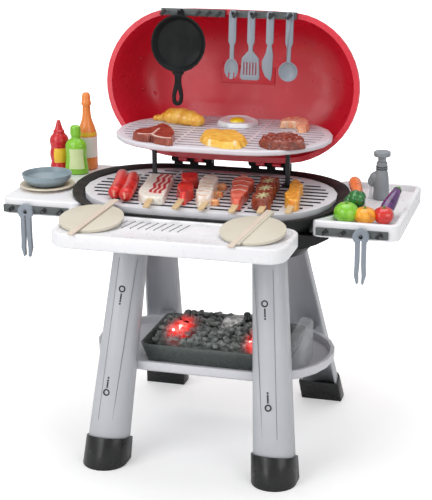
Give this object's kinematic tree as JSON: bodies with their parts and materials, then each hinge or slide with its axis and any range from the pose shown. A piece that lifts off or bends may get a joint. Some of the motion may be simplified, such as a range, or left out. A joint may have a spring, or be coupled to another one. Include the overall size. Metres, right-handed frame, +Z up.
{
  "type": "toy barbecue grill",
  "caption": "Toy barbecue grill on splayed legs: domed lid held open, grate with play food, raised rack, side trays with tap and bottles, lower shelf with charcoal light and mist unit.",
  "frame": {"origin": "on the floor, at the middle of the footprint", "axes": "+X to the right of someone who stands at the front, +Y from the front shelf to the lid, +Z up"},
  "size_m": [0.65, 0.516, 0.7145],
  "materials": {
    "black_plastic": "glossy black",
    "white_plastic": "smooth white",
    "silver_plastic": "satin silver grey",
    "pale_grey_plastic": "satin pale grey",
    "dark_grey_plastic": "satin dark grey",
    "red_plastic": "glossy red",
    "blue_grey_plastic": "satin blue grey",
    "cream_plastic": "satin cream",
    "red_food_plastic": "glossy red",
    "salmon_food_plastic": "satin salmon pink",
    "brown_food_plastic": "satin brown",
    "yellow_food_plastic": "satin golden yellow",
    "green_plastic": "glossy lime green",
    "smoked_plastic": "smoky translucent grey",
    "charcoal_plastic": "rough charcoal",
    "clear_plastic": "clear"
  },
  "bodies": {
    "stand": {"tub": "black_plastic", "front_shelf": "white_plastic", "left_tray": "white_plastic", "right_tray": "white_plastic", "left_tray_rail": "dark_grey_plastic", "right_tray_rail": "dark_grey_plastic", "front_left_leg": "silver_plastic", "front_right_leg": "silver_plastic", "back_left_leg": "silver_plastic", "back_right_leg": "silver_plastic", "front_left_foot": "black_plastic", "front_right_foot": "black_plastic", "back_left_foot": "black_plastic", "back_right_foot": "black_plastic", "left_hinge_pin": "dark_grey_plastic", "right_hinge_pin": "dark_grey_plastic", "lower_shelf": "pale_grey_plastic", "tap_body": "blue_grey_plastic", "main_grate": "pale_grey_plastic", "left_rack_post": "black_plastic", "right_rack_post": "black_plastic", "upper_rack": "pale_grey_plastic"},
    "fire": {"charcoal_tray": "smoked_plastic", "light_and_mist_unit": "black_plastic", "charcoal_bed": "charcoal_plastic"},
    "battery_door": {"battery_door": "black_plastic"},
    "power_button": {"power_button": "dark_grey_plastic"},
    "water_tank": {"water_tank": "clear_plastic"},
    "lid": {"lid": "red_plastic", "left_lid_rail": "dark_grey_plastic", "right_lid_rail": "dark_grey_plastic"},
    "pan": {"pan": "black_plastic"},
    "fork_spoon": {"fork_spoon": "blue_grey_plastic"},
    "spatula": {"spatula": "blue_grey_plastic"},
    "knife": {"knife": "blue_grey_plastic"},
    "ladle": {"ladle": "blue_grey_plastic"},
    "left_tongs": {"left_tongs": "blue_grey_plastic"},
    "right_tongs": {"right_tongs": "blue_grey_plastic"},
    "tap_knob": {"tap_knob": "blue_grey_plastic"},
    "plate": {"plate": "cream_plastic"},
    "bowl": {"bowl": "blue_grey_plastic"},
    "red_sauce_bottle": {"red_sauce_bottle": "red_food_plastic"},
    "green_sauce_bottle": {"green_sauce_bottle": "green_plastic"},
    "orange_sauce_bottle": {"orange_sauce_bottle": "yellow_food_plastic"},
    "left_paddle": {"left_paddle": "cream_plastic"},
    "right_paddle": {"right_paddle": "cream_plastic"},
    "vegetables": {"vegetables": "green_plastic"},
    "sausage_pair": {"sausage_pair": "red_food_plastic"},
    "bacon_skewer": {"bacon_skewer": "cream_plastic"},
    "meatball_skewer": {"meatball_skewer": "red_food_plastic"},
    "squid_skewer": {"squid_skewer": "cream_plastic"},
    "salmon_skewer": {"salmon_skewer": "salmon_food_plastic"},
    "mushroom_skewer": {"mushroom_skewer": "brown_food_plastic"},
    "corn_skewer": {"corn_skewer": "yellow_food_plastic"},
    "roast_chicken": {"roast_chicken": "yellow_food_plastic"},
    "t_bone_steak": {"t_bone_steak": "brown_food_plastic"},
    "fried_egg": {"fried_egg": "white_plastic"},
    "chicken_nugget": {"chicken_nugget": "yellow_food_plastic"},
    "shrimp": {"shrimp": "salmon_food_plastic"},
    "meat_patty": {"meat_patty": "brown_food_plastic"}
  },
  "joints": [
    {"name": "lid_hinge", "type": "hinge", "parent": "stand", "child": "lid", "pos_m": [0, 0.1215, 0.4565], "axis": [1, 0, 0], "range_deg": [0, 12]},
    {"name": "pan_off_hook", "type": "slide", "parent": "lid", "child": "pan", "axis": [0, -0.8937, 0.4487], "range_m": [0, 0.02]},
    {"name": "fork_spoon_off_hook", "type": "slide", "parent": "lid", "child": "fork_spoon", "axis": [0, -0.8937, 0.4487], "range_m": [0, 0.02]},
    {"name": "spatula_off_hook", "type": "slide", "parent": "lid", "child": "spatula", "axis": [0, -0.8937, 0.4487], "range_m": [0, 0.02]},
    {"name": "knife_off_hook", "type": "slide", "parent": "lid", "child": "knife", "axis": [0, -0.8937, 0.4487], "range_m": [0, 0.02]},
    {"name": "ladle_off_hook", "type": "slide", "parent": "lid", "child": "ladle", "axis": [0, -0.8937, 0.4487], "range_m": [0, 0.02]},
    {"name": "left_tongs_off_hook", "type": "slide", "parent": "stand", "child": "left_tongs", "axis": [0, -0.9397, 0.342], "range_m": [0, 0.02]},
    {"name": "right_tongs_off_hook", "type": "slide", "parent": "stand", "child": "right_tongs", "axis": [0, -0.9397, 0.342], "range_m": [0, 0.02]},
    {"name": "tap_press", "type": "slide", "parent": "stand", "child": "tap_knob", "axis": [0, 0, -1], "range_m": [0, 0.006], "stiffness_N_per_m": 250, "springref_m": -0.002},
    {"name": "fire_lift", "type": "slide", "parent": "stand", "child": "fire", "axis": [0, 0, 1], "range_m": [0, 0.08]},
    {"name": "battery_door_off", "type": "slide", "parent": "fire", "child": "battery_door", "axis": [0, 1, 0], "range_m": [0, 0.015]},
    {"name": "power_press", "type": "slide", "parent": "fire", "child": "power_button", "axis": [0, -1, 0], "range_m": [0, 0.0015], "stiffness_N_per_m": 400, "springref_m": -0.001},
    {"name": "water_tank_lift", "type": "slide", "parent": "stand", "child": "water_tank", "axis": [0, 0, 1], "range_m": [0, 0.08]},
    {"name": "plate_lift", "type": "slide", "parent": "stand", "child": "plate", "axis": [0, 0, 1], "range_m": [0, 0.1]},
    {"name": "bowl_lift", "type": "slide", "parent": "plate", "child": "bowl", "axis": [0, 0, 1], "range_m": [0, 0.1]},
    {"name": "red_bottle_lift", "type": "slide", "parent": "stand", "child": "red_sauce_bottle", "axis": [0, 0, 1], "range_m": [0, 0.1]},
    {"name": "green_bottle_lift", "type": "slide", "parent": "stand", "child": "green_sauce_bottle", "axis": [0, 0, 1], "range_m": [0, 0.1]},
    {"name": "orange_bottle_lift", "type": "slide", "parent": "stand", "child": "orange_sauce_bottle", "axis": [0, 0, 1], "range_m": [0, 0.1]},
    {"name": "left_paddle_lift", "type": "slide", "parent": "stand", "child": "left_paddle", "axis": [0, 0, 1], "range_m": [0, 0.1]},
    {"name": "right_paddle_lift", "type": "slide", "parent": "stand", "child": "right_paddle", "axis": [0, 0, 1], "range_m": [0, 0.1]},
    {"name": "vegetables_lift", "type": "slide", "parent": "stand", "child": "vegetables", "axis": [0, 0, 1], "range_m": [0, 0.1]},
    {"name": "sausage_lift", "type": "slide", "parent": "stand", "child": "sausage_pair", "axis": [0, 0, 1], "range_m": [0, 0.03]},
    {"name": "bacon_lift", "type": "slide", "parent": "stand", "child": "bacon_skewer", "axis": [0, 0, 1], "range_m": [0, 0.03]},
    {"name": "meatball_lift", "type": "slide", "parent": "stand", "child": "meatball_skewer", "axis": [0, 0, 1], "range_m": [0, 0.03]},
    {"name": "squid_lift", "type": "slide", "parent": "stand", "child": "squid_skewer", "axis": [0, 0, 1], "range_m": [0, 0.03]},
    {"name": "salmon_lift", "type": "slide", "parent": "stand", "child": "salmon_skewer", "axis": [0, 0, 1], "range_m": [0, 0.03]},
    {"name": "mushroom_lift", "type": "slide", "parent": "stand", "child": "mushroom_skewer", "axis": [0, 0, 1], "range_m": [0, 0.03]},
    {"name": "corn_lift", "type": "slide", "parent": "stand", "child": "corn_skewer", "axis": [0, 0, 1], "range_m": [0, 0.03]},
    {"name": "chicken_lift", "type": "slide", "parent": "stand", "child": "roast_chicken", "axis": [0, 0, 1], "range_m": [0, 0.03]},
    {"name": "steak_lift", "type": "slide", "parent": "stand", "child": "t_bone_steak", "axis": [0, 0, 1], "range_m": [0, 0.01]},
    {"name": "egg_lift", "type": "slide", "parent": "stand", "child": "fried_egg", "axis": [0, 0, 1], "range_m": [0, 0.03]},
    {"name": "nugget_lift", "type": "slide", "parent": "stand", "child": "chicken_nugget", "axis": [0, 0, 1], "range_m": [0, 0.03]},
    {"name": "shrimp_lift", "type": "slide", "parent": "stand", "child": "shrimp", "axis": [0, 0, 1], "range_m": [0, 0.03]},
    {"name": "patty_lift", "type": "slide", "parent": "stand", "child": "meat_patty", "axis": [0, 0, 1], "range_m": [0, 0.03]}
  ]
}
